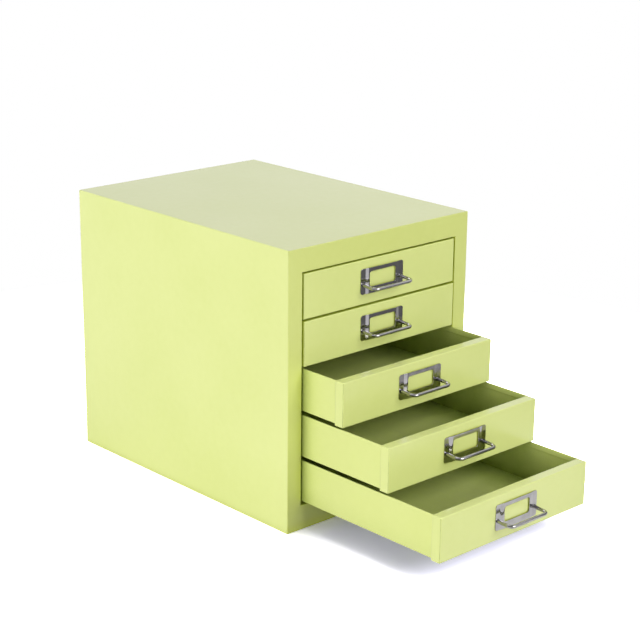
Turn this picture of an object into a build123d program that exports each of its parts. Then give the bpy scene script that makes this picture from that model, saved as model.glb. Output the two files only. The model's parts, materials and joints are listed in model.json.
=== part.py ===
from build123d import *
import os

# Five-drawer sheet-steel desktop cabinet, in millimetres. +Z is up and the drawers open towards -Y.
# The origin is the centre of the cabinet's footprint, on the surface that it stands on.

# Casing
cabinet_width = 279.0
cabinet_depth = 380.0
cabinet_height = 325.0
shell_sheet = 1.0
shell_bend_radius = 1.5
weld_flange = 10.0
base_corner_notch = 2.0
panel_clearance = 0.2

# Front frame
stile_width = 20.0
top_rail_height = 27.0
bottom_rail_height = 29.0
frame_flange_depth = 14.0
frame_edge_radius = 0.8

# Drawers: how far each one stands open at rest, from the top drawer down
drawer_openings = (0.0, 1.2, 63.0, 133.0, 209.5)
front_gap = 2.0
drawer_sheet = 0.8
tray_length = 362.0
front_return_depth = 12.0
front_lip_drop = 3.0
front_edge_radius = 1.1
tray_upstand = 12.0
hem_width = 2.0
hem_height = 6.0
hem_radius = 0.8

# Runners and uprights
runner_sheet = 1.0
runner_side_clearance = 0.8
slide_clearance = 0.3
tilt_clearance = 1.0
runner_ledge_width = 9.0
runner_guide_width = 6.0
runner_setback = 2.0
runner_stop_width = 10.0
runner_tail = 4.0
upright_width = 30.0
upright_foot = 8.0
upright_setback = 3.0
rear_upright_inset = 14.0

# Out-stop: a hook under the back of the tray runs against an ear on each runner
drawer_travel = 250.0
hook_drop = 2.5
hook_width = 6.0
hook_inset = 2.5
ear_width = 9.7
ear_length = 12.0
stop_clearance = 0.2

# Label holder
plate_width = 66.0
plate_height = 29.5
plate_raise = 0.8
plate_sheet = 0.8
card_gap = 1.0
ear_flat_width = 7.0
ear_step_width = 4.5
plate_corner_radius = 3.0
window_width = 40.4
window_height = 17.6
window_rise = 7.6
window_corner_radius = 3.0

# Wire bail and its push-on retainers
bail_wire = 4.0
bail_reach = 19.8
bail_bend_radius = 6.0
bail_drop = 3.6
bail_tail = 3.0
bail_hole_clearance = 0.15
retainer_diameter = 10.0
retainer_sheet = 0.8

# Worked out from the sizes above
front_plane = -cabinet_depth / 2
back_plane = cabinet_depth / 2
half_width = cabinet_width / 2
opening_half_width = half_width - stile_width
opening_top = cabinet_height - top_rail_height
opening_bottom = bottom_rail_height
drawer_count = len(drawer_openings)
drawer_front_height = (opening_top - opening_bottom - (drawer_count + 1) * front_gap) / drawer_count
drawer_pitch = drawer_front_height + front_gap
drawer_half_width = opening_half_width - front_gap
runner_face = drawer_half_width + runner_side_clearance
upright_face = runner_face + runner_sheet
runner_end = front_plane + tray_length + slide_clearance + runner_tail
shell_inner_face = half_width - shell_sheet
bail_leg_x = plate_width / 2 - ear_flat_width / 2


def span(x_range, y_range, z_range):
    """A box given by its lowest and highest value along each axis."""
    sizes = [high - low for low, high in (x_range, y_range, z_range)]
    middle = [(low + high) / 2 for low, high in (x_range, y_range, z_range)]
    return Pos(*middle) * Box(*sizes)


def both_sides(solid):
    """The solid and its mirror image across the cabinet's middle plane."""
    return [solid, mirror(solid, Plane.YZ)]


def front_top(level):
    """Height of the top edge of a drawer front."""
    return opening_top - front_gap - level * drawer_pitch


def front_bottom(level):
    """Height of the bottom edge of a drawer front."""
    return front_top(level) - drawer_front_height


def tray_bottom(level):
    """Height of the underside of a tray, above the lip of its front."""
    return front_bottom(level) + front_lip_drop


def front_face(level):
    """Where a drawer front's outer face lies along Y at rest."""
    return front_plane - drawer_openings[level]


def handle_height(level):
    """Height of the middle of the label holder, a little above the middle of the front."""
    return (front_top(level) + front_bottom(level)) / 2 + plate_raise


def casing_wrap():
    """Sides and top folded from one sheet, with inward weld flanges at the front and the back."""
    front = front_plane + shell_sheet
    outer = span((-half_width, half_width), (front, back_plane), (0, cabinet_height))
    top_edges = outer.edges().filter_by(Axis.Y).group_by(Axis.Z)[-1]
    outer = fillet(top_edges, shell_bend_radius)
    inner_top = cabinet_height - shell_sheet
    hollow = span((-shell_inner_face, shell_inner_face), (front + shell_sheet, back_plane - shell_sheet),
                  (0, inner_top))
    hollow_edges = hollow.edges().filter_by(Axis.Y).group_by(Axis.Z)[-1]
    hollow = fillet(hollow_edges, shell_bend_radius - shell_sheet)
    flange_inner = shell_inner_face - weld_flange
    windows = span((-flange_inner, flange_inner), (front, back_plane), (0, inner_top - weld_flange))
    return outer - hollow - windows


def front_frame():
    """Flat frame with rounded outer edges and a flange turned back round the drawer opening."""
    plate = span((-half_width, half_width), (front_plane, front_plane + shell_sheet), (0, cabinet_height))
    top_corners = plate.edges().filter_by(Axis.Y).group_by(Axis.Z)[-1]
    plate = fillet(top_corners, shell_bend_radius)
    outline = plate.faces().sort_by(Axis.Y)[0].edges()
    plate = fillet(outline.filter_by(lambda edge: edge.center().Z > frame_edge_radius), frame_edge_radius)
    collar = span((-opening_half_width - shell_sheet, opening_half_width + shell_sheet),
                  (front_plane + shell_sheet, front_plane + frame_flange_depth),
                  (opening_bottom - shell_sheet, opening_top + shell_sheet))
    opening = span((-opening_half_width, opening_half_width), (front_plane, front_plane + frame_flange_depth),
                   (opening_bottom, opening_top))
    frame = plate + collar - opening
    rim = frame.faces().sort_by(Axis.Y)[0].inner_wires()[0].edges()
    return fillet(rim, frame_edge_radius)


def base_panel():
    """Floor of the casing, with flanges turned up inside the frame, the sides and the back."""
    front = front_plane + shell_sheet
    sheet = span((-shell_inner_face, shell_inner_face), (front + shell_sheet, back_plane - shell_sheet),
                 (0, shell_sheet))
    flange_length = opening_half_width - shell_sheet
    front_flange = span((-flange_length, flange_length), (front, front + shell_sheet), (0, weld_flange))
    back_flange = span((-shell_inner_face + weld_flange, shell_inner_face - weld_flange),
                       (back_plane - shell_sheet, back_plane), (0, weld_flange))
    side_flange = span((shell_inner_face - shell_sheet, shell_inner_face),
                       (front + shell_sheet + base_corner_notch, back_plane - shell_sheet - base_corner_notch),
                       (0, weld_flange))
    base = sheet + front_flange + back_flange
    for flange in both_sides(side_flange):
        base += flange
    return base


def back_panel():
    """Flat back, set inside the flanges of the wrap and the base."""
    half = shell_inner_face - panel_clearance
    return span((-half, half), (back_plane - 2 * shell_sheet, back_plane - shell_sheet),
                (shell_sheet + panel_clearance, cabinet_height - shell_bend_radius - panel_clearance))


def upright(side, start):
    """Hat-section post between a side of the casing and its five runners."""
    low = weld_flange + shell_sheet
    high = cabinet_height - shell_bend_radius
    end = start + upright_width
    web = span((upright_face, upright_face + runner_sheet), (start, end), (low, high))
    post = web
    for leg_start in (start, end - runner_sheet):
        post += span((upright_face, shell_inner_face), (leg_start, leg_start + runner_sheet), (low, high))
    for foot_start in (start - upright_foot, end):
        post += span((shell_inner_face - runner_sheet, shell_inner_face),
                     (foot_start, foot_start + upright_foot), (low, high))
    return post if side > 0 else mirror(post, Plane.YZ)


def runner(side, level):
    """Channel round one edge of a tray: ledge below, guide above, stops for both ends of the travel."""
    ledge_top = tray_bottom(level) - slide_clearance
    ledge_bottom = ledge_top - runner_sheet
    guide_bottom = front_top(level) + tilt_clearance
    guide_top = guide_bottom + runner_sheet
    start = front_plane + frame_flange_depth + runner_setback
    stop_front = front_plane + tray_length + slide_clearance
    rail = span((runner_face, upright_face), (start, runner_end), (ledge_bottom, guide_top))
    rail += span((runner_face - runner_ledge_width, runner_face), (start, runner_end), (ledge_bottom, ledge_top))
    rail += span((runner_face - runner_guide_width, runner_face), (start, runner_end), (guide_bottom, guide_top))
    rail += span((runner_face - runner_stop_width, runner_face), (stop_front, stop_front + runner_sheet),
                 (ledge_bottom, guide_top))
    ear_back = front_plane + tray_length - drawer_sheet - drawer_travel - stop_clearance
    ear_outer = runner_face - runner_ledge_width
    rail += span((ear_outer - ear_width, ear_outer), (ear_back - ear_length, ear_back),
                 (ledge_bottom, ledge_top))
    return rail if side > 0 else mirror(rail, Plane.YZ)


def tray(level):
    """Bottom, front upstand and sides of the drawer, folded from one sheet and hemmed along the sides."""
    bottom = tray_bottom(level)
    rim = front_top(level)
    face = front_face(level)
    inner_front = face + drawer_sheet
    wall_front = face + front_return_depth
    back = face + tray_length - drawer_sheet
    outer = drawer_half_width
    inner = outer - drawer_sheet
    box = span((-inner, inner), (inner_front, back), (bottom, bottom + drawer_sheet))
    box += span((-inner, inner), (inner_front, inner_front + drawer_sheet), (bottom, bottom + tray_upstand))
    side_wall = span((inner, outer), (wall_front, back), (bottom, rim - hem_radius))
    side_hem = span((outer - hem_width, outer), (wall_front, back), (rim - hem_height, rim))
    side_hem = fillet(side_hem.edges().filter_by(Axis.Y).group_by(Axis.Z)[-1], hem_radius)
    for piece in (side_wall, side_hem):
        for copy in both_sides(piece):
            box += copy
    return box


def tray_back(level):
    """Back wall welded to the tray's sides and bottom, hemmed along its rim, with the stop hooks below."""
    bottom = tray_bottom(level)
    rim = front_top(level)
    back = front_face(level) + tray_length
    outer = drawer_half_width
    wall = span((-outer, outer), (back - drawer_sheet, back), (bottom, rim - hem_radius))
    hem_half = outer - hem_width
    hem = span((-hem_half, hem_half), (back - hem_width, back), (rim - hem_height, rim))
    wall += fillet(hem.edges().filter_by(Axis.X).group_by(Axis.Z)[-1], hem_radius)
    hook_outer = runner_face - runner_ledge_width - hook_inset
    hook = span((hook_outer - hook_width, hook_outer), (back - drawer_sheet, back),
                (bottom - hook_drop, bottom))
    for copy in both_sides(hook):
        wall += copy
    return wall


def drawer_front(level):
    """Shallow pan that faces the drawer, with returns on all four sides and holes for the bail."""
    face = front_face(level)
    back = face + front_return_depth
    low = front_bottom(level)
    high = front_top(level)
    pan = span((-drawer_half_width, drawer_half_width), (face, back), (low, high))
    side_edges = pan.edges().filter_by(Axis.Y)
    pan = fillet(side_edges, front_edge_radius)
    pan = fillet(pan.faces().sort_by(Axis.Y)[0].edges(), front_edge_radius)
    inner_half = drawer_half_width - drawer_sheet
    pan -= span((-inner_half, inner_half), (face + drawer_sheet, back), (low + drawer_sheet, high - drawer_sheet))
    for hole in bail_holes(level, face, face + drawer_sheet):
        pan -= hole
    return pan


def bail_holes(level, start, end):
    """The two round holes that the bail's legs pass through, between two places along Y."""
    radius = bail_wire / 2 + bail_hole_clearance
    height = handle_height(level) - bail_drop
    drill = Pos(bail_leg_x, (start + end) / 2, height) * Rot(90, 0, 0) * Cylinder(radius, end - start)
    return both_sides(drill)


def label_holder(level):
    """Plated label holder: flat ears on the drawer front and a raised centre round a window."""
    face = front_face(level)
    half = plate_width / 2
    ear_end = half - ear_flat_width
    step_end = ear_end - ear_step_width
    depth = card_gap + plate_sheet
    half_profile = [(0, card_gap), (step_end, card_gap), (ear_end, 0), (half, 0),
                    (half, plate_sheet), (ear_end, plate_sheet), (step_end, depth), (0, depth)]
    half_section = make_face(Polyline(*[(x, face - rise) for x, rise in half_profile], close=True))
    section = half_section + mirror(half_section, Plane.YZ)
    bottom = handle_height(level) - plate_height / 2
    plate = extrude(Pos(0, 0, bottom) * section, plate_height)
    mould = span((-half, half), (face - depth, face), (bottom, bottom + plate_height))
    plate &= fillet(mould.edges().filter_by(Axis.Y), plate_corner_radius)
    window = span((-window_width / 2, window_width / 2), (face - depth, face),
                  (bottom + window_rise, bottom + window_rise + window_height))
    plate -= fillet(window.edges().filter_by(Axis.Y), window_corner_radius)
    for hole in bail_holes(level, face - plate_sheet, face):
        plate -= hole
    return plate


def bail(level):
    """Round wire bent square twice: two legs through the front and a bar across in front."""
    face = front_face(level)
    height = handle_height(level) - bail_drop
    tail = face + drawer_sheet + retainer_sheet + bail_tail
    reach = face - bail_reach
    path = FilletPolyline((-bail_leg_x, tail, height), (-bail_leg_x, reach, height),
                          (bail_leg_x, reach, height), (bail_leg_x, tail, height), radius=bail_bend_radius)
    start = Plane(origin=path @ 0, z_dir=path % 0)
    return sweep(start * Circle(bail_wire / 2), path=path)


def bail_retainers(level):
    """Two push-on washers that grip the bail's legs behind the drawer front."""
    face = front_face(level) + drawer_sheet
    height = handle_height(level) - bail_drop
    centre = face + retainer_sheet / 2
    washer = Pos(bail_leg_x, centre, height) * Rot(90, 0, 0) * Cylinder(retainer_diameter / 2, retainer_sheet)
    bore = Pos(bail_leg_x, centre, height) * Rot(90, 0, 0) * Cylinder(
        bail_wire / 2 + bail_hole_clearance, retainer_sheet)
    return Compound(children=both_sides(washer - bore))


def cabinet_nodes():
    """Every piece of the cabinet by name."""
    nodes = {
        "casing_wrap": casing_wrap(),
        "front_frame": front_frame(),
        "base_panel": base_panel(),
        "back_panel": back_panel(),
    }
    front_start = front_plane + frame_flange_depth + upright_setback + upright_foot
    rear_start = runner_end - rear_upright_inset - upright_width
    for name, side in (("left", -1), ("right", 1)):
        nodes[f"upright_front_{name}"] = upright(side, front_start)
        nodes[f"upright_rear_{name}"] = upright(side, rear_start)
        for level in range(drawer_count):
            nodes[f"runner_{name}_{level + 1}"] = runner(side, level)
    makers = {
        "tray": tray,
        "tray_back": tray_back,
        "drawer_front": drawer_front,
        "label_holder": label_holder,
        "bail": bail,
        "bail_retainers": bail_retainers,
    }
    for level in range(drawer_count):
        for name, maker in makers.items():
            nodes[f"{name}_{level + 1}"] = maker(level)
    return nodes


os.makedirs("parts", exist_ok=True)
for node_name, shape in cabinet_nodes().items():
    export_step(shape, f"parts/{node_name}.step")
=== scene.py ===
"""Looks of a five-drawer steel desktop cabinet, built round its CAD frame.

The folded sheets keep their CAD shapes and get stove enamels. The label holders, the wire pulls and
the push-on retainers are modelled here in finer form and stand for their CAD nodes.
"""

import json
import logging
import math
from collections.abc import Callable
from dataclasses import dataclass, field
from enum import Enum
from functools import cached_property

import bmesh
import bpy
from mathutils import Matrix, Vector

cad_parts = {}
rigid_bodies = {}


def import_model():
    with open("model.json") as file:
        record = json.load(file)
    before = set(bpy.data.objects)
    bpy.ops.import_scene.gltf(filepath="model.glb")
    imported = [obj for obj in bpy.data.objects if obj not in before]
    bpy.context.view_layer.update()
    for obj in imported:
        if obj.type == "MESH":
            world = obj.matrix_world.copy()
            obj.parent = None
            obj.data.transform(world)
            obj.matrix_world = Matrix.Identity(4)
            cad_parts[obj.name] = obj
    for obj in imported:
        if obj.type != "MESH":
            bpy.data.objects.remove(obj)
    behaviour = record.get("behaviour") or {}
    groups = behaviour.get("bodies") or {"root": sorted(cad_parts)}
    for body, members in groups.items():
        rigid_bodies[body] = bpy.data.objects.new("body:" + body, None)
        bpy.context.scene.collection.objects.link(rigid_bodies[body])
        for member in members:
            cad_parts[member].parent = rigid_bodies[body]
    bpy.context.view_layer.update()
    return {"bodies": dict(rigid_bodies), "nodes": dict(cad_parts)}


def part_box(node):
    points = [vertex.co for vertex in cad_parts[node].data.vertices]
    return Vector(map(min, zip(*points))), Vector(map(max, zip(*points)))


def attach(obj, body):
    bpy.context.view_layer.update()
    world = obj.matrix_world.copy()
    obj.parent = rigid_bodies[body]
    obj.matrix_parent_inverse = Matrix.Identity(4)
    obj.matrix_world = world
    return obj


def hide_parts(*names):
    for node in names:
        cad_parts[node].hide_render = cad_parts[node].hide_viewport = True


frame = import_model()

LOG = logging.getLogger("cabinet")
MM = 0.001
NEAR = 0.01 * MM
SQUARE = math.radians(90)
SHARP = math.radians(50)

Colour = tuple[float, float, float, float]
Place = tuple[float, float, float]
Span = tuple[float, float]
Ramp = tuple[float, float, float, float]
Piece = bpy.types.Object
Tree = bpy.types.NodeTree
Node = bpy.types.Node
Socket = bpy.types.NodeSocket
Outputs = bpy.types.NodeOutputs

WHITE: Colour = (1.0, 1.0, 1.0, 1.0)


class Part(Enum):
    """What an edit-mode choice picks: corners, edges or faces."""

    CORNERS = "VERT"
    EDGES = "EDGE"
    FACES = "FACE"


class Sheet(Enum):
    """The painted sheets of the cabinet, by what the names of their CAD nodes start with."""

    CASING = ("casing_wrap", "back_panel", "base_panel")
    FRAME = ("front_frame",)
    FRONT = ("drawer_front",)
    TRAY = ("tray",)
    RAIL = ("runner", "upright")


def middle(item: bmesh.types.BMVert | bmesh.types.BMEdge | bmesh.types.BMFace) -> Vector:
    """Finds the middle of a mesh element.

    Args:
        item: A corner, an edge or a face of an edit mesh.

    Returns:
        Its place, or the mean place of its corners.
    """
    if isinstance(item, bmesh.types.BMVert):
        return item.co.copy()
    corners = [corner.co for corner in item.verts]
    return sum(corners, Vector()) / len(corners)


def pick(piece: Piece, part: Part, test: Callable[[Vector], bool]) -> None:
    """Selects, in edit mode, only the elements whose middle passes a test.

    Args:
        piece: The piece that is being edited.
        part: The kind of element to select.
        test: Says of a middle, in metres, whether its element is wanted.
    """
    bpy.ops.mesh.select_mode(type=part.value)
    bpy.ops.mesh.select_all(action="DESELECT")
    mesh = bmesh.from_edit_mesh(piece.data)
    kinds = {Part.CORNERS: mesh.verts, Part.EDGES: mesh.edges, Part.FACES: mesh.faces}
    for item in kinds[part]:
        if test(middle(item)):
            item.select_set(True)
    mesh.select_flush_mode()
    bmesh.update_edit_mesh(piece.data)


def start(name: str, primitive: Callable[..., set[str]], **settings: object) -> Piece:
    """Adds a primitive, puts its place into its mesh and opens it for editing.

    Args:
        name: The piece's name.
        primitive: The operator that adds the primitive.
        settings: The operator's values for size and place.

    Returns:
        The piece, in edit mode with all of it selected.
    """
    bpy.ops.object.select_all(action="DESELECT")
    primitive(**settings)
    piece = bpy.context.object
    piece.name = name
    piece.data.name = name
    bpy.ops.object.transform_apply(location=True, rotation=True, scale=True)
    bpy.ops.object.mode_set(mode="EDIT")
    bpy.ops.mesh.select_all(action="SELECT")
    return piece


def close_up(smooth_angle: float) -> None:
    """Merges doubles, turns faces outward and leaves edit mode with smooth shading.

    Args:
        smooth_angle: The widest angle between two faces that is still shaded smooth, in degrees.
    """
    bpy.ops.mesh.select_all(action="SELECT")
    bpy.ops.mesh.remove_doubles(threshold=0.001 * MM)
    bpy.ops.mesh.normals_make_consistent(inside=False)
    bpy.ops.object.mode_set(mode="OBJECT")
    bpy.ops.object.shade_smooth_by_angle(angle=math.radians(smooth_angle))


def finish_with(piece: Piece, kind: str, **settings: object) -> None:
    """Adds a modifier to a piece and applies it.

    Args:
        piece: The piece, in object mode.
        kind: The modifier's type, such as SOLIDIFY.
        settings: Values for the modifier's properties.
    """
    modifier = piece.modifiers.new(kind.lower(), kind)
    for key, value in settings.items():
        setattr(modifier, key, value)
    bpy.ops.object.select_all(action="DESELECT")
    bpy.context.view_layer.objects.active = piece
    piece.select_set(True)
    bpy.ops.object.modifier_apply(modifier=modifier.name)


def extrude(along: Place) -> None:
    """Extrudes what is selected by a stretch, in metres."""
    bpy.ops.mesh.extrude_region_move(TRANSFORM_OT_translate={"value": along})


def step_to(along: float, size: float) -> None:
    """Extrudes a selected ring along Y, in metres, and changes its size by a share."""
    extrude((0.0, along, 0.0))
    bpy.ops.transform.resize(value=(size, 1.0, size))


def thicken(sheet: Piece, way: float, thickness: float) -> None:
    """Gives an open sheet its thickness on one side.

    Args:
        sheet: The sheet, in object mode.
        way: -1 to grow towards the front and 1 to grow back.
        thickness: How far it grows, in metres.
    """
    if way * sum(face.normal.y * face.area for face in sheet.data.polygons) < 0.0:
        sheet.data.flip_normals()
    finish_with(sheet, "SOLIDIFY", thickness=thickness, offset=1.0, use_even_offset=True)


def soften(piece: Piece, rim: float, steps: int) -> None:
    """Rounds the sharp edges of a pressed piece and evens the shading of its flats.

    Args:
        piece: The piece, in object mode.
        rim: The width of the rounding, in metres.
        steps: How many faces it has across.
    """
    smooth_angle = 35.0
    flats_first = 90
    finish_with(piece, "BEVEL", width=rim, segments=steps, limit_method="ANGLE", angle_limit=SHARP)
    bpy.ops.object.mode_set(mode="EDIT")
    close_up(smooth_angle)
    finish_with(piece, "WEIGHTED_NORMAL", weight=flats_first, keep_sharp=True)


def cut_away(piece: Piece, cutter: Piece) -> None:
    """Cuts one closed solid out of another and removes the cutter."""
    finish_with(piece, "BOOLEAN", operation="DIFFERENCE", solver="EXACT", object=cutter)
    bpy.data.objects.remove(cutter)


def copy_to(piece: Piece, name: str, shift: Vector) -> Piece:
    """Copies a finished piece, with a mesh of its own, to another place.

    Args:
        piece: The piece to copy.
        name: The copy's name.
        shift: How far the copy stands from the piece, in metres.

    Returns:
        The copy, with its place in its mesh.
    """
    bpy.ops.object.select_all(action="DESELECT")
    bpy.context.view_layer.objects.active = piece
    piece.select_set(True)
    bpy.ops.object.duplicate(linked=False)
    twin = bpy.context.object
    twin.name = name
    twin.data.name = name
    twin.location = shift
    bpy.ops.object.transform_apply(location=True, rotation=True, scale=True)
    return twin


class Graph:
    """Adds and joins the nodes of one material, world or effect group."""

    # A Mix node's sockets for colours share their names with others, so they go by number.
    mix_inputs = (0, 6, 7)
    mix_result = 2

    def __init__(self, tree: Tree) -> None:
        """Keeps the tree that the nodes go into."""
        self.tree = tree

    def add(self, kind: str, **settings: object) -> Node:
        """Adds a node.

        Args:
            kind: The node's type, without its ShaderNode prefix.
            settings: Properties of the node.

        Returns:
            The new node.
        """
        node = self.tree.nodes.new("ShaderNode" + kind)
        for key, value in settings.items():
            setattr(node, key, value)
        return node

    def put(self, target: Socket, source: object) -> None:
        """Joins a socket to an input, or sets the input to a value.

        Args:
            target: The input.
            source: The socket or the value.
        """
        if isinstance(source, Socket):
            self.tree.links.new(source, target)
        else:
            target.default_value = source

    def feed(self, node: Node, **sources: object) -> Node:
        """Joins or sets inputs of a node.

        Args:
            node: The node that is fed.
            sources: A socket or a value for each input, by the input's name with _ for each space.

        Returns:
            The same node.
        """
        for key, source in sources.items():
            self.put(node.inputs[key.replace("_", " ")], source)
        return node

    def fill(self, node: Node, *sources: object) -> Node:
        """Joins or sets the first inputs of a node, in their order.

        Args:
            node: The node that is fed.
            sources: A socket or a value for each input.

        Returns:
            The same node.
        """
        for target, source in zip(node.inputs, sources):
            self.put(target, source)
        return node

    def maths(self, operation: str, *sources: object) -> Socket:
        """Works out one operation, such as ADD, on a socket or number or on two of them."""
        return self.fill(self.add("Math", operation=operation), *sources).outputs[0]

    def times(self, first: object, second: object) -> Socket:
        """Multiplies two sockets or numbers."""
        return self.maths("MULTIPLY", first, second)

    def spread(self, source: Socket, low: float, high: float, start: float = 0.0,
               end: float = 1.0) -> Socket:
        """Maps a value from low..high to start..end, held at both ends.

        Args:
            source: The value.
            low: The value that gives start.
            high: The value that gives end.
            start: The result at low.
            end: The result at high.

        Returns:
            The mapped value.
        """
        node = self.add("MapRange", clamp=True)
        self.feed(node, Value=source, From_Min=low, From_Max=high, To_Min=start, To_Max=end)
        return node.outputs["Result"]

    def noise(self, place: Socket, scale: object, **layers: float) -> Socket:
        """Adds soft noise with spots about 1 / scale metres wide, and values for its finer layers."""
        return self.feed(self.add("TexNoise"), Vector=place, Scale=scale, **layers).outputs["Fac"]

    def patches(self, place: Socket, size: float, detail: float = 2.0) -> Socket:
        """Adds soft noise with spots about size millimetres wide."""
        return self.noise(place, 1.0 / (size * MM), Detail=detail)

    def blend(self, share: object, first: object, second: object) -> Socket:
        """Mixes two colours.

        Args:
            share: The share of the second colour, from 0 to 1.
            first: The first colour or socket.
            second: The second colour or socket.

        Returns:
            The mixed colour.
        """
        node = self.add("Mix", data_type="RGBA")
        for index, source in zip(self.mix_inputs, (share, first, second)):
            self.put(node.inputs[index], source)
        return node.outputs[self.mix_result]

    def layer(self, below: object, mask: Socket, share: float, colour: Colour) -> Socket:
        """Lays a colour over another where a mask says, up to a share."""
        return self.blend(self.times(mask, share), below, colour)

    def split(self, vector: Socket) -> Outputs:
        """Splits a vector into its X, Y and Z."""
        return self.feed(self.add("SeparateXYZ"), Vector=vector).outputs

    def normal(self) -> Outputs:
        """Gives the X, Y and Z of the true surface normal."""
        return self.split(self.add("NewGeometry").outputs["Normal"])

    def choose(self, share: Socket, first: Socket, second: Socket) -> Socket:
        """Mixes two shaders by the share of the second, from 0 to 1."""
        return self.fill(self.add("MixShader"), share, first, second).outputs[0]

    def show(self, shader: Socket, output: str = "Material Output") -> None:
        """Joins a shader to the tree's output."""
        self.put(self.tree.nodes[output].inputs["Surface"], shader)

    def seen_rays(self) -> Socket:
        """Tells the rays that see the scene from those that light it.

        Returns:
            1 on rays from the camera, mirrors or glass, and 0 on the others.
        """
        rays = self.add("LightPath").outputs
        mirrored = self.maths("MAXIMUM", rays["Is Glossy Ray"], rays["Is Transmission Ray"])
        return self.maths("MAXIMUM", rays["Is Camera Ray"], mirrored)

    def effect(self, group: Tree, place: Socket, **sources: object) -> Outputs:
        """Places a shared effect in this tree, feeds its inputs and gives its outputs."""
        return self.feed(self.add("Group", node_tree=group), Place=place, **sources).outputs


def new_material(name: str, plain: bool = False) -> tuple[bpy.types.Material, Graph]:
    """Makes a material with nodes.

    Args:
        name: The material's name.
        plain: True where it does without the Principled BSDF.

    Returns:
        The material and the graph of its nodes.
    """
    material = bpy.data.materials.new(name)
    material.use_nodes = True
    graph = Graph(material.node_tree)
    if plain:
        graph.tree.nodes.remove(graph.tree.nodes["Principled BSDF"])
    return material, graph


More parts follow.
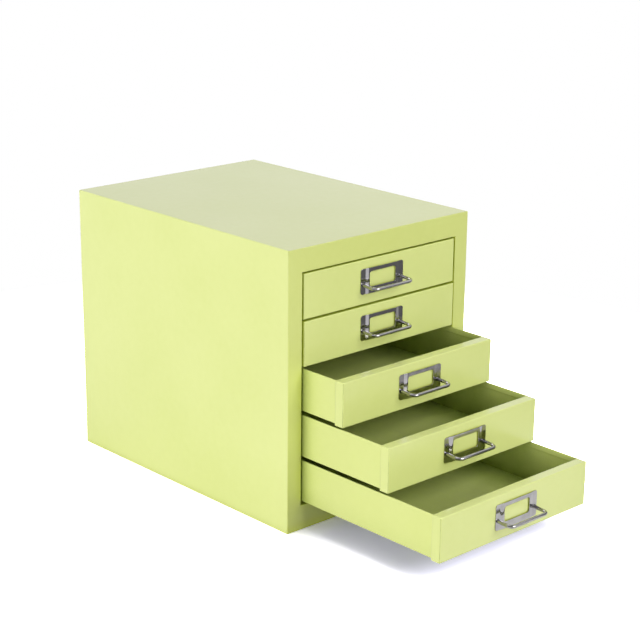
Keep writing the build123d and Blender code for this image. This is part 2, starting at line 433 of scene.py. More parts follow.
@dataclass
class Effects:
    """Shared effects of the finishes, each a node group that is made at its first use.

    Sizes are in millimetres. A span holds the values that give 0 and 1, and a ramp the results too.
    """

    fine_bump_scale: float = 3.1
    fine_bump_share: float = 0.3
    mottle_scale: float = 14.0
    mottle_share: float = 0.25
    cloud_span: Span = (0.35, 0.65)
    bevel_samples: int = 6
    edge_turn: Span = (0.99, 0.80)
    chip_size: float = 9.0
    chip_ramp: Ramp = (0.35, 0.6, 0.35, 1.0)
    upward_span: Span = (0.6, 0.95)
    film_size: float = 60.0
    film_ramp: Ramp = (0.35, 0.7, 0.2, 0.7)
    speck_pitch: float = 5.0
    speck_span: Span = (0.10, 0.04)
    line_stretch: float = 0.02
    scratch_scale: float = 0.12
    scratch_span: Span = (0.62, 0.70)
    corner_span: Span = (1.33, 1.40)
    corner_reflection_size: float = 14.0
    corner_reflection_ramp: Ramp = (0.3, 0.6, 0.55, 1.0)
    shade_samples: int = 8
    shade_span: Span = (0.92, 0.30)
    shade_size: float = 20.0
    shade_ramp: Ramp = (0.3, 0.7, 0.85, 1.0)

    @staticmethod
    def open_group(name: str, size: str | None, *outputs: str) -> tuple[Graph, Outputs, Node]:
        """Starts a node group that takes a place and, where it has one, a size.

        Args:
            name: The group's name.
            size: The name of its size input, in metres, or None.
            outputs: The names of its outputs.

        Returns:
            The group's graph, its inputs as sockets by name, and its output node.
        """
        tree = bpy.data.node_groups.new(name, "ShaderNodeTree")
        tree.interface.new_socket("Place", in_out="INPUT", socket_type="NodeSocketVector")
        if size:
            tree.interface.new_socket(size, in_out="INPUT", socket_type="NodeSocketFloat")
        for label in outputs:
            kind = "NodeSocketVector" if label == "Normal" else "NodeSocketFloat"
            tree.interface.new_socket(label, in_out="OUTPUT", socket_type=kind)
        return Graph(tree), tree.nodes.new("NodeGroupInput").outputs, tree.nodes.new("NodeGroupOutput")

    @cached_property
    def peel(self) -> Tree:
        """Makes the orange peel of sprayed enamel.

        Returns:
            A group that gives a height of soft bumps with finer ones on them.
        """
        graph, given, result = self.open_group("orange_peel", "Size", "Height")
        scale = graph.maths("DIVIDE", 1.0, given["Size"])
        coarse = graph.noise(given["Place"], scale, Detail=1.0)
        fine = graph.noise(given["Place"], graph.times(scale, self.fine_bump_scale), Detail=0.0)
        graph.feed(result, Height=graph.maths("ADD", coarse, graph.times(fine, self.fine_bump_share)))
        return graph.tree

    @cached_property
    def drift(self) -> Tree:
        """Makes the slow drift of tone over a panel.

        Returns:
            A group that gives a mask of wide soft clouds with faint mottle.
        """
        graph, given, result = self.open_group("tone_drift", "Size", "Mask")
        scale = graph.maths("DIVIDE", 1.0, given["Size"])
        wide = graph.noise(given["Place"], scale, Roughness=0.4)
        mottle = graph.noise(given["Place"], graph.times(scale, self.mottle_scale), Detail=3.0)
        both = graph.maths("ADD", graph.times(wide, 1.0 - self.mottle_share),
                           graph.times(mottle, self.mottle_share))
        graph.feed(result, Mask=graph.spread(both, *self.cloud_span))
        return graph.tree

    @cached_property
    def edges(self) -> Tree:
        """Makes the softening of sheet edges.

        Returns:
            A group that gives a rounded normal and a broken mask along each edge, where the enamels lay
            paler paint, partly worn thin and partly a painted highlight.
        """
        graph, given, result = self.open_group("soft_edges", "Radius", "Mask", "Normal")
        bevel = graph.feed(graph.add("Bevel", samples=self.bevel_samples), Radius=given["Radius"])
        rounded = bevel.outputs["Normal"]
        turn = graph.add("VectorMath", operation="DOT_PRODUCT")
        graph.fill(turn, rounded, graph.add("NewGeometry").outputs["Normal"])
        # Paler edges: partly worn thin paint, partly a painted highlight along the rims.
        worn = graph.spread(turn.outputs["Value"], *self.edge_turn)
        chips = graph.spread(graph.patches(given["Place"], self.chip_size, detail=3.0), *self.chip_ramp)
        graph.feed(result, Mask=graph.times(worn, chips), Normal=rounded)
        return graph.tree

    @cached_property
    def dust(self) -> Tree:
        """Makes settled dust.

        Returns:
            A group that gives a mask on faces that look up, patchy and with single specks.
        """
        graph, given, result = self.open_group("settled_dust", None, "Mask")
        upward = graph.spread(graph.normal()["Z"], *self.upward_span)
        film = graph.spread(graph.patches(given["Place"], self.film_size, detail=4.0), *self.film_ramp)
        specks = graph.add("TexVoronoi")
        graph.feed(specks, Vector=given["Place"], Scale=1.0 / (self.speck_pitch * MM))
        speck = graph.spread(specks.outputs["Distance"], *self.speck_span)
        graph.feed(result, Mask=graph.times(upward, graph.maths("MAXIMUM", film, speck)))
        return graph.tree

    @cached_property
    def lines(self) -> Tree:
        """Makes fine lines drawn along X.

        Returns:
            A group that gives a height of polishing lines and a mask of stray scratches.
        """
        graph, given, result = self.open_group("drawn_lines", "Pitch", "Height", "Mask")
        stretch = graph.feed(graph.add("Mapping"), Vector=given["Place"],
                             Scale=(self.line_stretch, 1.0, 1.0))
        scale = graph.maths("DIVIDE", 1.0, given["Pitch"])
        drawn = graph.noise(stretch.outputs["Vector"], scale)
        stray = graph.noise(stretch.outputs["Vector"], graph.times(scale, self.scratch_scale), Detail=1.0)
        graph.feed(result, Height=drawn, Mask=graph.spread(stray, *self.scratch_span))
        return graph.tree

    @cached_property
    def folds(self) -> Tree:
        """Makes a painted dark reflection, a thin line along a front's rounded upright corners.

        Returns:
            A group that gives a mask on the front's rounded upright corners.
        """
        graph, given, result = self.open_group("corner_seams", None, "Mask")
        normal = graph.normal()
        # Painted dark reflection, picked out by the normal on the rounded corners and broken into patches.
        turn = graph.maths("SUBTRACT", graph.maths("ABSOLUTE", normal["X"]), normal["Y"])
        uneven = graph.spread(graph.patches(given["Place"], self.corner_reflection_size), *self.corner_reflection_ramp)
        graph.feed(result, Mask=graph.times(graph.spread(turn, *self.corner_span), uneven))
        return graph.tree

    @cached_property
    def crevices(self) -> Tree:
        """Makes the painted shade of gaps and inner corners.

        Returns:
            A group that gives a mask of painted shade, which grows where surfaces lie close and is a
            little patchy.
        """
        graph, given, result = self.open_group("crevices", "Reach", "Mask")
        near = graph.add("AmbientOcclusion", samples=self.shade_samples)
        graph.feed(near, Distance=given["Reach"])
        # Painted shade: the surface darkens where nearby surfaces close in, from ambient occlusion.
        shut = graph.spread(near.outputs["AO"], *self.shade_span)
        patchy = graph.spread(graph.patches(given["Place"], self.shade_size, detail=3.0), *self.shade_ramp)
        graph.feed(result, Mask=graph.times(shut, patchy))
        return graph.tree


@dataclass(frozen=True)
class Enamel:
    """Stove enamel on sheet steel.

    Colours are linear red, green, blue and one, and sizes are in millimetres.
    """

    name: str
    colour: Colour = (0.728, 0.790, 0.286, 1.0)
    deep: Colour = (0.696, 0.763, 0.258, 1.0)
    # Paler edge colour: worn thin paint and a painted highlight.
    edge: Colour = (0.800, 0.850, 0.400, 1.0)
    dust: Colour = (0.660, 0.680, 0.480, 1.0)
    steel: Colour = (0.420, 0.415, 0.400, 1.0)
    # Painted shade, laid where surfaces lie close.
    crevice: Colour = (0.450, 0.520, 0.010, 1.0)
    # Painted dark reflection on the fronts' rounded corners.
    seam: Colour = (0.260, 0.300, 0.050, 1.0)
    drift_size: float = 120.0
    roughness: float = 0.36
    roughness_swing: float = 0.03
    peel_height: float = 0.012
    peel_size: float = 1.6
    edge_share: float = 0.35
    edge_radius: float = 0.6
    dust_share: float = 0.10
    dust_roughness: float = 0.9
    crevice_shade_share: float = 0.90
    crevice_shade_reach: float = 9.0
    corner_reflection_share: float = 0.0
    rub_share: float = 0.0
    streak_size: float = 1.2
    streak_stretch: float = 0.025
    streak_span: Span = (0.52, 0.62)
    rub_patch: float = 45.0
    rub_span: Span = (0.45, 0.62)
    level_span: Span = (0.7, 0.95)
    coat: float = 0.8
    coat_roughness: float = 0.18

    def material(self, effects: Effects) -> bpy.types.Material:
        """Makes the enamel's material.

        Args:
            effects: The shared effects that it uses.

        Returns:
            A material whose colour, roughness and relief vary over the sheet, with painted shade in its
            crevices and a painted highlight on its edges.
        """
        material, graph = new_material(self.name)
        shader = graph.tree.nodes["Principled BSDF"]
        place = graph.add("TexCoord").outputs["Object"]
        drift = graph.effect(effects.drift, place, Size=self.drift_size * MM)["Mask"]
        edges = graph.effect(effects.edges, place, Radius=self.edge_radius * MM)
        dust = graph.effect(effects.dust, place)["Mask"]
        peel = graph.effect(effects.peel, place, Size=self.peel_size * MM)["Height"]
        gap_shade = graph.effect(effects.crevices, place, Reach=self.crevice_shade_reach * MM)["Mask"]
        film = graph.times(dust, self.dust_share)
        tone = graph.blend(drift, self.deep, self.colour)
        # Paler edges: partly worn thin paint, partly a painted highlight along the rims.
        tone = graph.layer(tone, edges["Mask"], self.edge_share, self.edge)
        tone = graph.blend(film, tone, self.dust)
        # Painted shade in gaps, inner corners and deep in the trays, in a darker olive.
        tone = graph.layer(tone, gap_shade, self.crevice_shade_share, self.crevice)
        # Painted dark reflection along the fronts' rounded upright corners.
        if self.corner_reflection_share > 0.0:
            corner_reflections = graph.effect(effects.folds, place)["Mask"]
            tone = graph.layer(tone, corner_reflections, self.corner_reflection_share, self.seam)
        if self.rub_share > 0.0:
            rub = self.rubbed(graph, place)
            tone = graph.blend(rub, tone, self.steel)
            graph.feed(shader, Metallic=rub)
        gloss = graph.spread(drift, 0.0, 1.0, self.roughness + self.roughness_swing,
                             self.roughness - self.roughness_swing)
        gloss = graph.maths("ADD", gloss, graph.times(film, self.dust_roughness))
        relief = graph.feed(graph.add("Bump"), Strength=1.0, Distance=self.peel_height * MM, Height=peel,
                            Normal=edges["Normal"])
        graph.feed(shader, Base_Color=tone, Roughness=gloss, Normal=relief.outputs["Normal"],
                   Coat_Weight=self.coat, Coat_Roughness=self.coat_roughness)
        return material

    def rubbed(self, graph: Graph, place: Socket) -> Socket:
        """Adds the bright streaks that sliding leaves, drawn out along the drawers' travel.

        Args:
            graph: The material's graph.
            place: Where the surface point is.

        Returns:
            The share of bare steel, from 0 to rub_share.
        """
        stretch = graph.feed(graph.add("Mapping"), Vector=place, Scale=(1.0, self.streak_stretch, 1.0))
        streaks = graph.patches(stretch.outputs["Vector"], self.streak_size, detail=3.0)
        patches = graph.patches(place, self.rub_patch)
        worn = graph.times(graph.spread(streaks, *self.streak_span), graph.spread(patches, *self.rub_span))
        level = graph.spread(graph.maths("ABSOLUTE", graph.normal()["Z"]), *self.level_span)
        return graph.times(graph.times(worn, level), self.rub_share)


@dataclass(frozen=True)
class Plating:
    """Bright plate on steel.

    Colours are linear red, green, blue and one, and sizes and heights are in millimetres.
    """

    name: str
    colour: Colour
    dull: Colour
    roughness: float
    line_height: float
    wave_height: float
    wave_size: float
    scratch_share: float
    scratch_roughness: float = 0.25
    line_pitch: float = 0.25
    edge_radius: float = 0.25
    breath_size: float = 11.0
    breath_span: Span = (0.40, 0.66)
    breath_share: float = 0.6
    breath_roughness: float = 0.05

    def material(self, effects: Effects) -> bpy.types.Material:
        """Makes the plating's material.

        Args:
            effects: The shared effects that it uses.

        Returns:
            A metal with drawn lines, faint waves, duller patches and stray scratches.
        """
        material, graph = new_material(self.name)
        shader = graph.tree.nodes["Principled BSDF"]
        place = graph.add("TexCoord").outputs["Object"]
        lines = graph.effect(effects.lines, place, Pitch=self.line_pitch * MM)
        edges = graph.effect(effects.edges, place, Radius=self.edge_radius * MM)
        breath = graph.spread(graph.patches(place, self.breath_size, detail=3.0), *self.breath_span)
        scratch = graph.times(lines["Mask"], self.scratch_share)
        tone = graph.layer(self.colour, breath, self.breath_share, self.dull)
        tone = graph.blend(scratch, tone, self.dull)
        gloss = graph.maths("ADD", graph.times(breath, self.breath_roughness), self.roughness)
        gloss = graph.maths("ADD", gloss, graph.times(scratch, self.scratch_roughness))
        waves = graph.times(graph.patches(place, self.wave_size, detail=1.0), self.wave_height)
        fine = graph.times(lines["Height"], self.line_height)
        relief = graph.feed(graph.add("Bump"), Strength=1.0, Distance=MM,
                            Height=graph.maths("ADD", waves, fine), Normal=edges["Normal"])
        graph.feed(shader, Base_Color=tone, Metallic=1.0, Roughness=gloss, Normal=relief.outputs["Normal"])
        return material


# The darker crevice colours are painted shade where surfaces lie close; in the trays it reaches far into
# their insides.
ENAMELS = {
    Sheet.CASING: Enamel("casing_enamel", dust_share=0.16, crevice_shade_share=0.50),
    Sheet.FRAME: Enamel("frame_enamel", colour=(0.672, 0.730, 0.236, 1.0), deep=(0.642, 0.702, 0.213, 1.0),
                        roughness=0.34, crevice=(0.620, 0.685, 0.050, 1.0), crevice_shade_reach=18.0, coat=0.3),
    # The fronts' wide pale edges are partly worn paint and partly a painted highlight on their rims and
    # top returns.
    Sheet.FRONT: Enamel("front_enamel", roughness=0.33, edge_share=0.55, edge_radius=1.4, dust_share=0.04,
                        # Their rounded upright corners carry a painted dark reflection.
                        corner_reflection_share=0.8),
    Sheet.TRAY: Enamel("tray_enamel", roughness=0.38, peel_size=1.9, dust_share=0.08, rub_share=0.12,
                       crevice=(0.180, 0.260, 0.001, 1.0), crevice_shade_reach=60.0, coat=0.1),
    Sheet.RAIL: Enamel("rail_enamel", roughness=0.42, peel_size=2.2, rub_share=0.55),
}
PLATE = Plating("nickel_plate", colour=(0.442, 0.430, 0.445, 1.0), dull=(0.340, 0.328, 0.350, 1.0),
                roughness=0.06, line_height=0.0012, wave_height=0.030, wave_size=16.0, scratch_share=0.35)
WIRE = Plating("bright_wire_plate", colour=(0.430, 0.423, 0.425, 1.0), dull=(0.300, 0.295, 0.295, 1.0),
               roughness=0.05, line_height=0.0008, wave_height=0.010, wave_size=9.0, scratch_share=0.30)
ZINC = Plating("zinc_on_spring_steel", colour=(0.470, 0.475, 0.490, 1.0), dull=(0.330, 0.325, 0.300, 1.0),
               roughness=0.27, line_height=0.0020, wave_height=0.012, wave_size=5.0, scratch_share=0.50)


@dataclass
class PaintedSheets:
    """The folded sheets of the casing and the drawers, which keep their CAD shapes."""

    enamels: dict[Sheet, Enamel]

    def dress(self, effects: Effects) -> None:
        """Gives each painted sheet the enamel of its kind.

        Args:
            effects: The shared effects that the enamels use.
        """
        for kind, enamel in self.enamels.items():
            material = enamel.material(effects)
            for name, sheet in frame["nodes"].items():
                if name.startswith(kind.value):
                    sheet.data.materials.clear()
                    sheet.data.materials.append(material)
                    LOG.info("%s: %s", name, material.name)


@dataclass
class Fitting:
    """A piece of a drawer's handle, placed by the CAD node that it stands for."""

    node: str
    low: Vector = field(init=False)
    high: Vector = field(init=False)

    def __post_init__(self) -> None:
        """Reads where the piece lies from its CAD node."""
        self.low, self.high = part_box(self.node)

    @property
    def level(self) -> float:
        """Gives the height of the node's middle."""
        return (self.low.z + self.high.z) / 2


@dataclass
class LabelHolder(Fitting):
    """Pressed plate with flat ears, two steps and a raised centre round a window."""

    sheet: float = 0.8 * MM
    raise_by: float = 1.0 * MM
    ear_width: float = 7.0 * MM
    step_width: float = 4.5 * MM
    fold_radius: float = 1.0 * MM
    fold_steps: int = 4
    corner: float = 3.0 * MM
    corner_steps: int = 6
    window: Span = (40.4 * MM, 17.6 * MM)
    window_rise: float = 7.6 * MM
    window_corner: float = 3.0 * MM
    window_steps: int = 8
    hole_radius: float = 2.3 * MM
    hole_drop: float = 3.6 * MM
    hole_sides: int = 32
    cutter_depth: float = 10.0 * MM
    cutter_smooth: float = 30.0
    rim: float = 0.16 * MM
    rim_steps: int = 2

    def build(self) -> Piece:
        """Models the plate: folds an open sheet, thickens it and pierces it.

        Returns:
            The finished plate, in its place.
        """
        plate = self.fold_sheet()
        thicken(plate, -1.0, self.sheet)
        cut_away(plate, self.window_cutter())
        for side in (-1, 1):
            cut_away(plate, self.hole_cutter(side))
        soften(plate, self.rim, self.rim_steps)
        return plate

    def fold_sheet(self) -> Piece:
        """Models the plate's inner face as an open sheet, with its folds and round corners.

        Returns:
            The sheet, in object mode.
        """
        half = self.high.x
        height = self.high.z - self.low.z
        face = self.high.y
        folds = (half - self.ear_width, half - self.ear_width - self.step_width)
        plate = start(self.node + "_pressed", bpy.ops.mesh.primitive_plane_add, size=1.0,
                      location=(0.0, face, self.level), rotation=(SQUARE, 0.0, 0.0))
        bpy.ops.transform.resize(value=(2 * half, 1.0, height))
        for fold in folds:
            for side in (-1, 1):
                bpy.ops.mesh.select_all(action="SELECT")
                bpy.ops.mesh.bisect(plane_co=(side * fold, face, self.level), plane_no=(1.0, 0.0, 0.0))
        pick(plate, Part.CORNERS, lambda at: abs(at.x) < folds[1] + NEAR)
        bpy.ops.transform.translate(value=(0.0, -self.raise_by, 0.0))
        pick(plate, Part.EDGES, lambda at: min(abs(abs(at.x) - fold) for fold in folds) < NEAR)
        bpy.ops.mesh.bevel(offset=self.fold_radius, segments=self.fold_steps, affect="EDGES")
        pick(plate, Part.CORNERS,
             lambda at: abs(at.x) > half - NEAR and abs(at.z - self.level) > height / 2 - NEAR)
        bpy.ops.mesh.bevel(offset=self.corner, segments=self.corner_steps, affect="VERTICES")
        bpy.ops.mesh.select_all(action="SELECT")
        bpy.ops.mesh.normals_make_consistent(inside=False)
        bpy.ops.object.mode_set(mode="OBJECT")
        return plate

    def window_cutter(self) -> Piece:
        """Models the block that cuts the window, with rounded corners.

        Returns:
            A closed block that passes right through the plate.
        """
        width, height = self.window
        middle_z = self.low.z + self.window_rise + height / 2
        cutter = start("window_cutter", bpy.ops.mesh.primitive_cube_add, size=1.0,
                       location=(0.0, self.high.y, middle_z))
        bpy.ops.transform.resize(value=(width, self.cutter_depth, height))
        pick(cutter, Part.EDGES,
             lambda at: abs(at.x) > width / 2 - NEAR and abs(at.z - middle_z) > height / 2 - NEAR)
        bpy.ops.mesh.bevel(offset=self.window_corner, segments=self.window_steps, affect="EDGES")
        close_up(self.cutter_smooth)
        return cutter

    def hole_cutter(self, side: int) -> Piece:
        """Models the round cutter for one of the bail's holes.

        Args:
            side: -1 for the left hole and 1 for the right one.

        Returns:
            A closed round bar that passes through the ear.
        """
        place = (side * (self.high.x - self.ear_width / 2), self.high.y, self.level - self.hole_drop)
        cutter = start("hole_cutter", bpy.ops.mesh.primitive_cylinder_add, vertices=self.hole_sides,
                       radius=self.hole_radius, depth=self.cutter_depth, location=place,
                       rotation=(SQUARE, 0.0, 0.0))
        close_up(self.cutter_smooth)
        return cutter


@dataclass
class Bail(Fitting):
    """Round wire bent square twice, with grooved and chamfered tails."""

    wire: float = 4.0 * MM
    wire_sides: int = 28
    bend: float = 6.0 * MM
    bend_steps: int = 12
    groove: float = 0.35 * MM
    groove_length: float = 0.9 * MM
    land: float = 0.9 * MM
    chamfer: float = 0.6 * MM
    droop: float = 4.0
    smooth_angle: float = 40.0

    @property
    def tail_length(self) -> float:
        """Gives the length of a tail's groove, land and chamfer."""
        return self.chamfer + self.groove_length + self.land

    def build(self) -> Piece:
        """Models the wire from the left tail round to the right one.

        Returns:
            The finished wire, in its place.
        """
        radius = self.wire / 2
        leg = self.high.x - radius
        bend_start = self.low.y + radius + self.bend
        straight = self.high.y - bend_start - self.tail_length
        wire = start(self.node + "_wire", bpy.ops.mesh.primitive_circle_add, vertices=self.wire_sides,
                     radius=radius, fill_type="NOTHING", location=(-leg, self.high.y, self.level),
                     rotation=(SQUARE, 0.0, 0.0))
        self.turn_tail(-1.0)
        extrude((0.0, -straight, 0.0))
        self.bend_wire(self.bend - leg, bend_start)
        extrude((2 * (leg - self.bend), 0.0, 0.0))
        self.bend_wire(leg - self.bend, bend_start)
        extrude((0.0, straight, 0.0))
        self.turn_tail(1.0, closing=True)
        self.hang()
        close_up(self.smooth_angle)
        return wire

    def hang(self) -> None:
        """Turns the whole wire down a little about its legs in the drawer's face."""
        bpy.ops.mesh.select_all(action="SELECT")
        bpy.ops.transform.rotate(value=-math.radians(self.droop), orient_axis="X", orient_type="GLOBAL",
                                 center_override=(0.0, self.high.y - self.tail_length, self.level))

    def bend_wire(self, across: float, along: float) -> None:
        """Bends the open end of the wire square, round a point given along X and Y."""
        bpy.ops.mesh.spin(steps=self.bend_steps, angle=SQUARE, center=(across, along, self.level),
                          axis=(0.0, 0.0, -1.0))

    def turn_tail(self, way: float, closing: bool = False) -> None:
        """Turns the chamfered and grooved tail, from its tip inward or outward to its tip.

        Args:
            way: -1 to go towards the front and 1 to go back.
            closing: True where the tail ends the wire, False where it starts it.
        """
        radius = self.wire / 2
        neck = (radius - self.groove) / radius
        tip = (radius - self.chamfer) / radius
        quarter = self.groove_length / 4
        groove = [(quarter, neck), (2 * quarter, 1.0), (quarter, 1 / neck)]
        if closing:
            rings = [*groove, (self.land, 1.0), (self.chamfer, tip)]
        else:
            rings = [(self.chamfer, 1 / tip), (self.land, 1.0), *groove]
            bpy.ops.mesh.edge_face_add()
            bpy.ops.transform.resize(value=(tip, 1.0, tip))
            bpy.ops.mesh.select_mode(type="EDGE")
        for along, size in rings:
            step_to(way * along, size)
        if closing:
            bpy.ops.mesh.edge_face_add()


@dataclass
class Retainers(Fitting):
    """Two push-on washers with a dished ring of teeth, one on each leg of the bail."""

    radius: float = 5.0 * MM
    crown: float = 3.5 * MM
    bore: float = 2.05 * MM
    sheet: float = 0.35 * MM
    dish: float = 0.45 * MM
    teeth: int = 6
    sides_per_tooth: int = 6
    slot_share: float = 1 / 3
    slot_reach: float = 0.98
    rim: float = 0.06 * MM

    @property
    def leg(self) -> float:
        """Gives where the right washer's centre lies along X."""
        return self.high.x - self.radius

    def build(self) -> Piece:
        """Models both washers as one piece of two solids.

        Returns:
            The finished pair, in its place.
        """
        washer = start(self.node + "_toothed", bpy.ops.mesh.primitive_circle_add,
                       vertices=self.teeth * self.sides_per_tooth, radius=self.radius,
                       fill_type="NOTHING", location=(self.leg, self.low.y, self.level),
                       rotation=(-SQUARE, 0.0, 0.0))
        half_dish = self.dish / 2
        for size, rise in ((self.crown, 0.0), ((self.crown + self.bore) / 2, half_dish),
                           (self.bore, half_dish)):
            step_to(rise, size / self.ring_size(washer))
        pick(washer, Part.FACES, self.in_slot)
        bpy.ops.mesh.delete(type="FACE")
        bpy.ops.mesh.select_all(action="SELECT")
        bpy.ops.mesh.normals_make_consistent(inside=False)
        bpy.ops.mesh.duplicate_move(TRANSFORM_OT_translate={"value": (-2 * self.leg, 0.0, 0.0)})
        bpy.ops.object.mode_set(mode="OBJECT")
        thicken(washer, 1.0, self.sheet)
        soften(washer, self.rim, steps=1)
        return washer

    def from_centre(self, at: Vector) -> float:
        """Gives how far a point lies from the right washer's axis."""
        return math.hypot(at.x - self.leg, at.z - self.level)

    def ring_size(self, washer: Piece) -> float:
        """Measures the radius of the selected ring, in metres."""
        mesh = bmesh.from_edit_mesh(washer.data)
        return max(self.from_centre(corner.co) for corner in mesh.verts if corner.select)

    def in_slot(self, at: Vector) -> bool:
        """Says whether a face's middle lies in one of the slots between the teeth."""
        turn = math.atan2(at.z - self.level, at.x - self.leg) / (2 * math.pi) * self.teeth
        return self.from_centre(at) <= self.crown * self.slot_reach and turn % 1.0 < self.slot_share


@dataclass
class Pulls:
    """The drawers' handles, each piece modelled once and copied to the other drawers."""

    drawers: list[str]

    def build(self, effects: Effects) -> None:
        """Builds, copies and dresses the plates, the wires and the washers.

        Args:
            effects: The shared effects that the platings use.
        """
        self.fit("label_holder", LabelHolder, PLATE.material(effects))
        self.fit("bail", Bail, WIRE.material(effects))
        self.fit("bail_retainers", Retainers, ZINC.material(effects))

    def fit(self, kind: str, maker: type[LabelHolder | Bail | Retainers],
            material: bpy.types.Material) -> None:
        """Fits one kind of piece to every drawer.

        Args:
            kind: What the names of its CAD nodes start with.
            maker: The class that models the first drawer's piece.
            material: The piece's material.
        """
        first: Piece | None = None
        home = Vector()
        for number, body in enumerate(self.drawers, start=1):
            node = f"{kind}_{number}"
            if first is None:
                piece = first = maker(node).build()
                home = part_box(node)[0]
                piece.data.materials.clear()
                piece.data.materials.append(material)
            else:
                name = first.name.replace(f"{kind}_1", node)
                piece = copy_to(first, name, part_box(node)[0] - home)
            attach(piece, body)
            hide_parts(node)
            LOG.info("%s: %d faces, rides on %s", piece.name, len(piece.data.polygons), body)


@dataclass
class Camera:
    """The photograph's viewpoint, in the frame's metres and degrees."""

    azimuth: float = -42.987
    elevation: float = 17.200
    roll: float = 0.611
    place: Place = (-1.2974, -1.4817, 0.7865)
    focal_pixels: float = 1702.67
    picture_width: float = 640.0
    sensor: float = 36.0

    def build(self) -> None:
        """Adds the camera and makes it the scene's own."""
        turn, tilt, roll = (math.radians(angle) for angle in (self.azimuth, self.elevation, self.roll))
        back = Vector((math.sin(turn) * math.cos(tilt), -math.cos(turn) * math.cos(tilt), math.sin(tilt)))
        side = Vector((0.0, 0.0, 1.0)).cross(back).normalized()
        up = back.cross(side)
        right = math.cos(roll) * side + math.sin(roll) * up
        top = -math.sin(roll) * side + math.cos(roll) * up
        data = bpy.data.cameras.new("camera")
        data.sensor_width = self.sensor
        data.lens = self.focal_pixels * self.sensor / self.picture_width
        camera = bpy.data.objects.new("camera", data)
        bpy.context.scene.collection.objects.link(camera)
        facing = Matrix((right, top, back)).transposed().to_4x4()
        camera.matrix_world = Matrix.Translation(self.place) @ facing
        bpy.context.scene.camera = camera


@dataclass(frozen=True)
class Softbox:
    """A flat soft lamp, aimed at the middle of the cabinet.

    Sizes are in metres, and its power is in watts.
    """

    name: str
    place: Place
    width: float
    height: float
    power: float
    mirrored: bool = True
    aim: Place = (0.0, -0.1, 0.15)

    def build(self) -> None:
        """Adds the lamp and turns it to face its aim."""
        data = bpy.data.lights.new(self.name, "AREA")
        data.shape = "RECTANGLE"
        data.size = self.width
        data.size_y = self.height
        data.energy = self.power
        lamp = bpy.data.objects.new(self.name, data)
        bpy.context.scene.collection.objects.link(lamp)
        lamp.location = self.place
        lamp.rotation_euler = (Vector(self.aim) - lamp.location).to_track_quat("-Z", "Y").to_euler()
        lamp.visible_glossy = self.mirrored


def add_panel(name: str, size: Span, place: Place, turn: Place) -> Piece:
    """Adds a flat panel of the studio, with its place in its mesh.

    Args:
        name: The panel's name.
        size: Its width and height, in metres.
        place: Where its middle is.
        turn: Its turns about X, Y and Z.

    Returns:
        The panel.
    """
    bpy.ops.object.select_all(action="DESELECT")
    bpy.ops.mesh.primitive_plane_add(size=1.0, location=place, rotation=turn)
    panel = bpy.context.object
    panel.name = name
    panel.scale = (*size, 1.0)
    bpy.ops.object.transform_apply(location=True, rotation=True, scale=True)
    return panel


@dataclass(frozen=True)
class Card:
    """An upright dark card that only shiny surfaces see, paler along its foot.

    Its shade changes over the span of heights in ramp, which climbs by lean for each metre along X.
    """

    name: str
    place: Place
    width: float
    height: float
    turn: float
    foot_shade: float
    shade: float
    ramp: Span
    lean: float = 0.0
    tint: Colour = (0.97, 0.97, 0.93, 1.0)

    def build(self) -> None:
        """Stands the card in its place."""
        card = add_panel(self.name, (self.width, self.height), self.place,
                         (SQUARE, 0.0, math.radians(self.turn)))
        material, graph = new_material(self.name + "_grey", plain=True)
        place = graph.split(graph.add("TexCoord").outputs["Object"])
        level = graph.maths("SUBTRACT", place["Z"], graph.times(place["X"], self.lean))
        shade = graph.spread(level, *self.ramp, self.foot_shade, self.shade)
        glow = graph.feed(graph.add("Emission"), Color=self.tint, Strength=shade)
        graph.show(glow.outputs[0])
        card.data.materials.append(material)
        card.visible_camera = False
        card.visible_diffuse = False
        card.visible_shadow = False


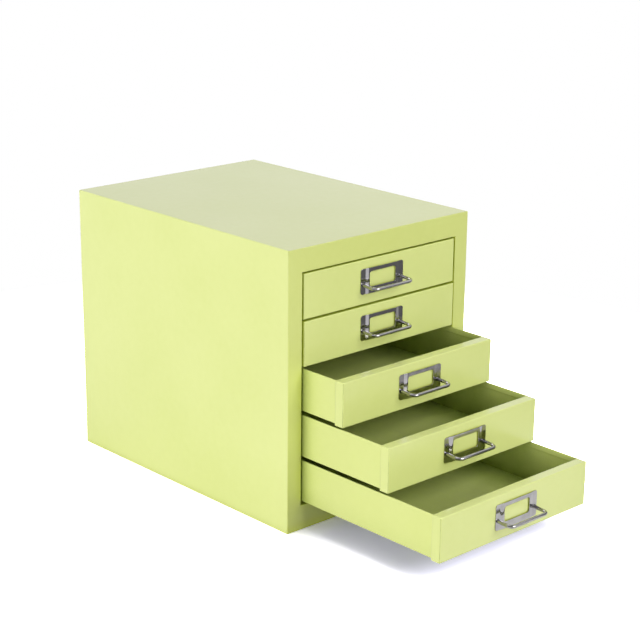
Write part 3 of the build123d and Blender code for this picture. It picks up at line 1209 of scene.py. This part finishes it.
@dataclass
class Studio:
    """White floor, pale surroundings, soft lamps and the dark cards that bright plate mirrors."""

    lamps: tuple[Softbox, ...] = (
        Softbox("left_strip", (-2.4, 0.15, 0.26), width=2.4, height=0.5, power=44.0, mirrored=False),
        Softbox("front_softbox", (0.5, -2.75, 1.8), width=2.0, height=1.5, power=60.0),
        Softbox("top_softbox", (0.2, 0.6, 2.6), width=1.6, height=1.6, power=13.0),
        Softbox("front_fill", (-1.10, -2.40, 0.45), width=1.0, height=0.6, power=11.0, mirrored=False),
        Softbox("rear_softbox", (-0.5, 3.0, 0.45), width=1.6, height=0.6, power=32.0, mirrored=False),
        Softbox("right_softbox", (3.0, 0.2, 0.40), width=1.6, height=0.6, power=29.0, mirrored=False),
    )
    cards: tuple[Card, ...] = (
        Card("right_card", (0.543, -0.308, 0.166), width=0.87, height=0.328, turn=40.0,
             foot_shade=0.56, shade=0.21, ramp=(-0.050, -0.044), lean=0.344),
        Card("left_card", (-0.535, -0.45, 0.172), width=1.30, height=0.34, turn=-50.3,
             foot_shade=0.10, shade=0.04, ramp=(0.0, 0.080)),
    )
    ambient: float = 0.22
    overhead_rise: Span = (0.72, 0.80)
    overhead_shade: float = 0.25
    floor_size: Span = (16.0, 16.0)
    floor_albedo: Colour = (0.36, 0.36, 0.36, 1.0)
    floor_seen: Colour = (5.00, 4.92, 5.20, 1.0)
    # Painted contact shadow colour of the floor close to the cabinet.
    floor_contact_shadow: Colour = (1.78, 1.72, 2.30, 1.0)
    floor_mirrored: Colour = (1.15, 1.15, 1.15, 1.0)
    floor_fade: Span = (0.46, 0.85)
    shadow_reach: float = 0.08
    shadow_span: Span = (0.35, 1.0)
    shadow_samples: int = 8

    def build(self) -> None:
        """Builds the floor, the cards, the lamps and the surroundings."""
        self.build_floor()
        for card in self.cards:
            card.build()
        self.build_world()
        for lamp in self.lamps:
            lamp.build()
        bpy.context.scene.view_settings.view_transform = "Standard"

    def build_floor(self) -> None:
        """Lays the pale floor, which shows white and keeps the cabinet's shadow, with a contact shadow
        painted in close round the cabinet.
        """
        floor = add_panel("floor", self.floor_size, (0.0, 0.0, 0.0), (0.0, 0.0, 0.0))
        material, graph = new_material("floor_white", plain=True)
        # Painted contact shadow: the floor seen by the camera darkens where the cabinet stands close, from
        # ambient occlusion.
        near = graph.add("AmbientOcclusion", samples=self.shadow_samples)
        graph.feed(near, Distance=self.shadow_reach)
        free = graph.spread(near.outputs["AO"], *self.shadow_span)
        seen_colour = graph.blend(free, self.floor_contact_shadow, self.floor_seen)
        by_eye = graph.add("LightPath").outputs["Is Camera Ray"]
        bright = graph.add("BsdfDiffuse")
        graph.feed(bright, Color=graph.blend(by_eye, self.floor_mirrored, seen_colour))
        reach = graph.add("VectorMath", operation="LENGTH")
        graph.fill(reach, graph.add("TexCoord").outputs["Object"])
        far = graph.spread(reach.outputs["Value"], *self.floor_fade)
        white = graph.feed(graph.add("Emission"), Color=WHITE, Strength=1.0)
        seen = graph.choose(far, bright.outputs[0], white.outputs[0])
        plain = graph.feed(graph.add("BsdfDiffuse"), Color=self.floor_albedo)
        graph.show(graph.choose(graph.seen_rays(), plain.outputs[0], seen))
        floor.data.materials.append(material)

    def build_world(self) -> None:
        """Sets pale surroundings that show white and light the cabinet softly."""
        world = bpy.data.worlds.new("studio")
        bpy.context.scene.world = world
        world.use_nodes = True
        graph = Graph(world.node_tree)
        soft = graph.feed(graph.tree.nodes["Background"], Color=WHITE, Strength=self.ambient)
        height = graph.split(graph.add("TexCoord").outputs["Generated"])["Z"]
        overhead = graph.spread(height, *self.overhead_rise, 1.0, self.overhead_shade)
        by_eye = graph.add("LightPath").outputs["Is Camera Ray"]
        white = graph.feed(graph.add("Background"), Color=WHITE,
                           Strength=graph.maths("MAXIMUM", by_eye, overhead))
        graph.show(graph.choose(graph.seen_rays(), soft.outputs[0], white.outputs[0]), "World Output")


def main() -> None:
    """Builds the finishes, the cabinet's looks and the studio, in that order."""
    logging.basicConfig(level=logging.INFO, format="%(message)s")
    effects = Effects()
    PaintedSheets(ENAMELS).dress(effects)
    drawers = sorted(name for name in frame["bodies"] if name.startswith("drawer_"))
    Pulls(drawers).build(effects)
    Studio().build()
    Camera().build()


if __name__ == "__main__":
    main()
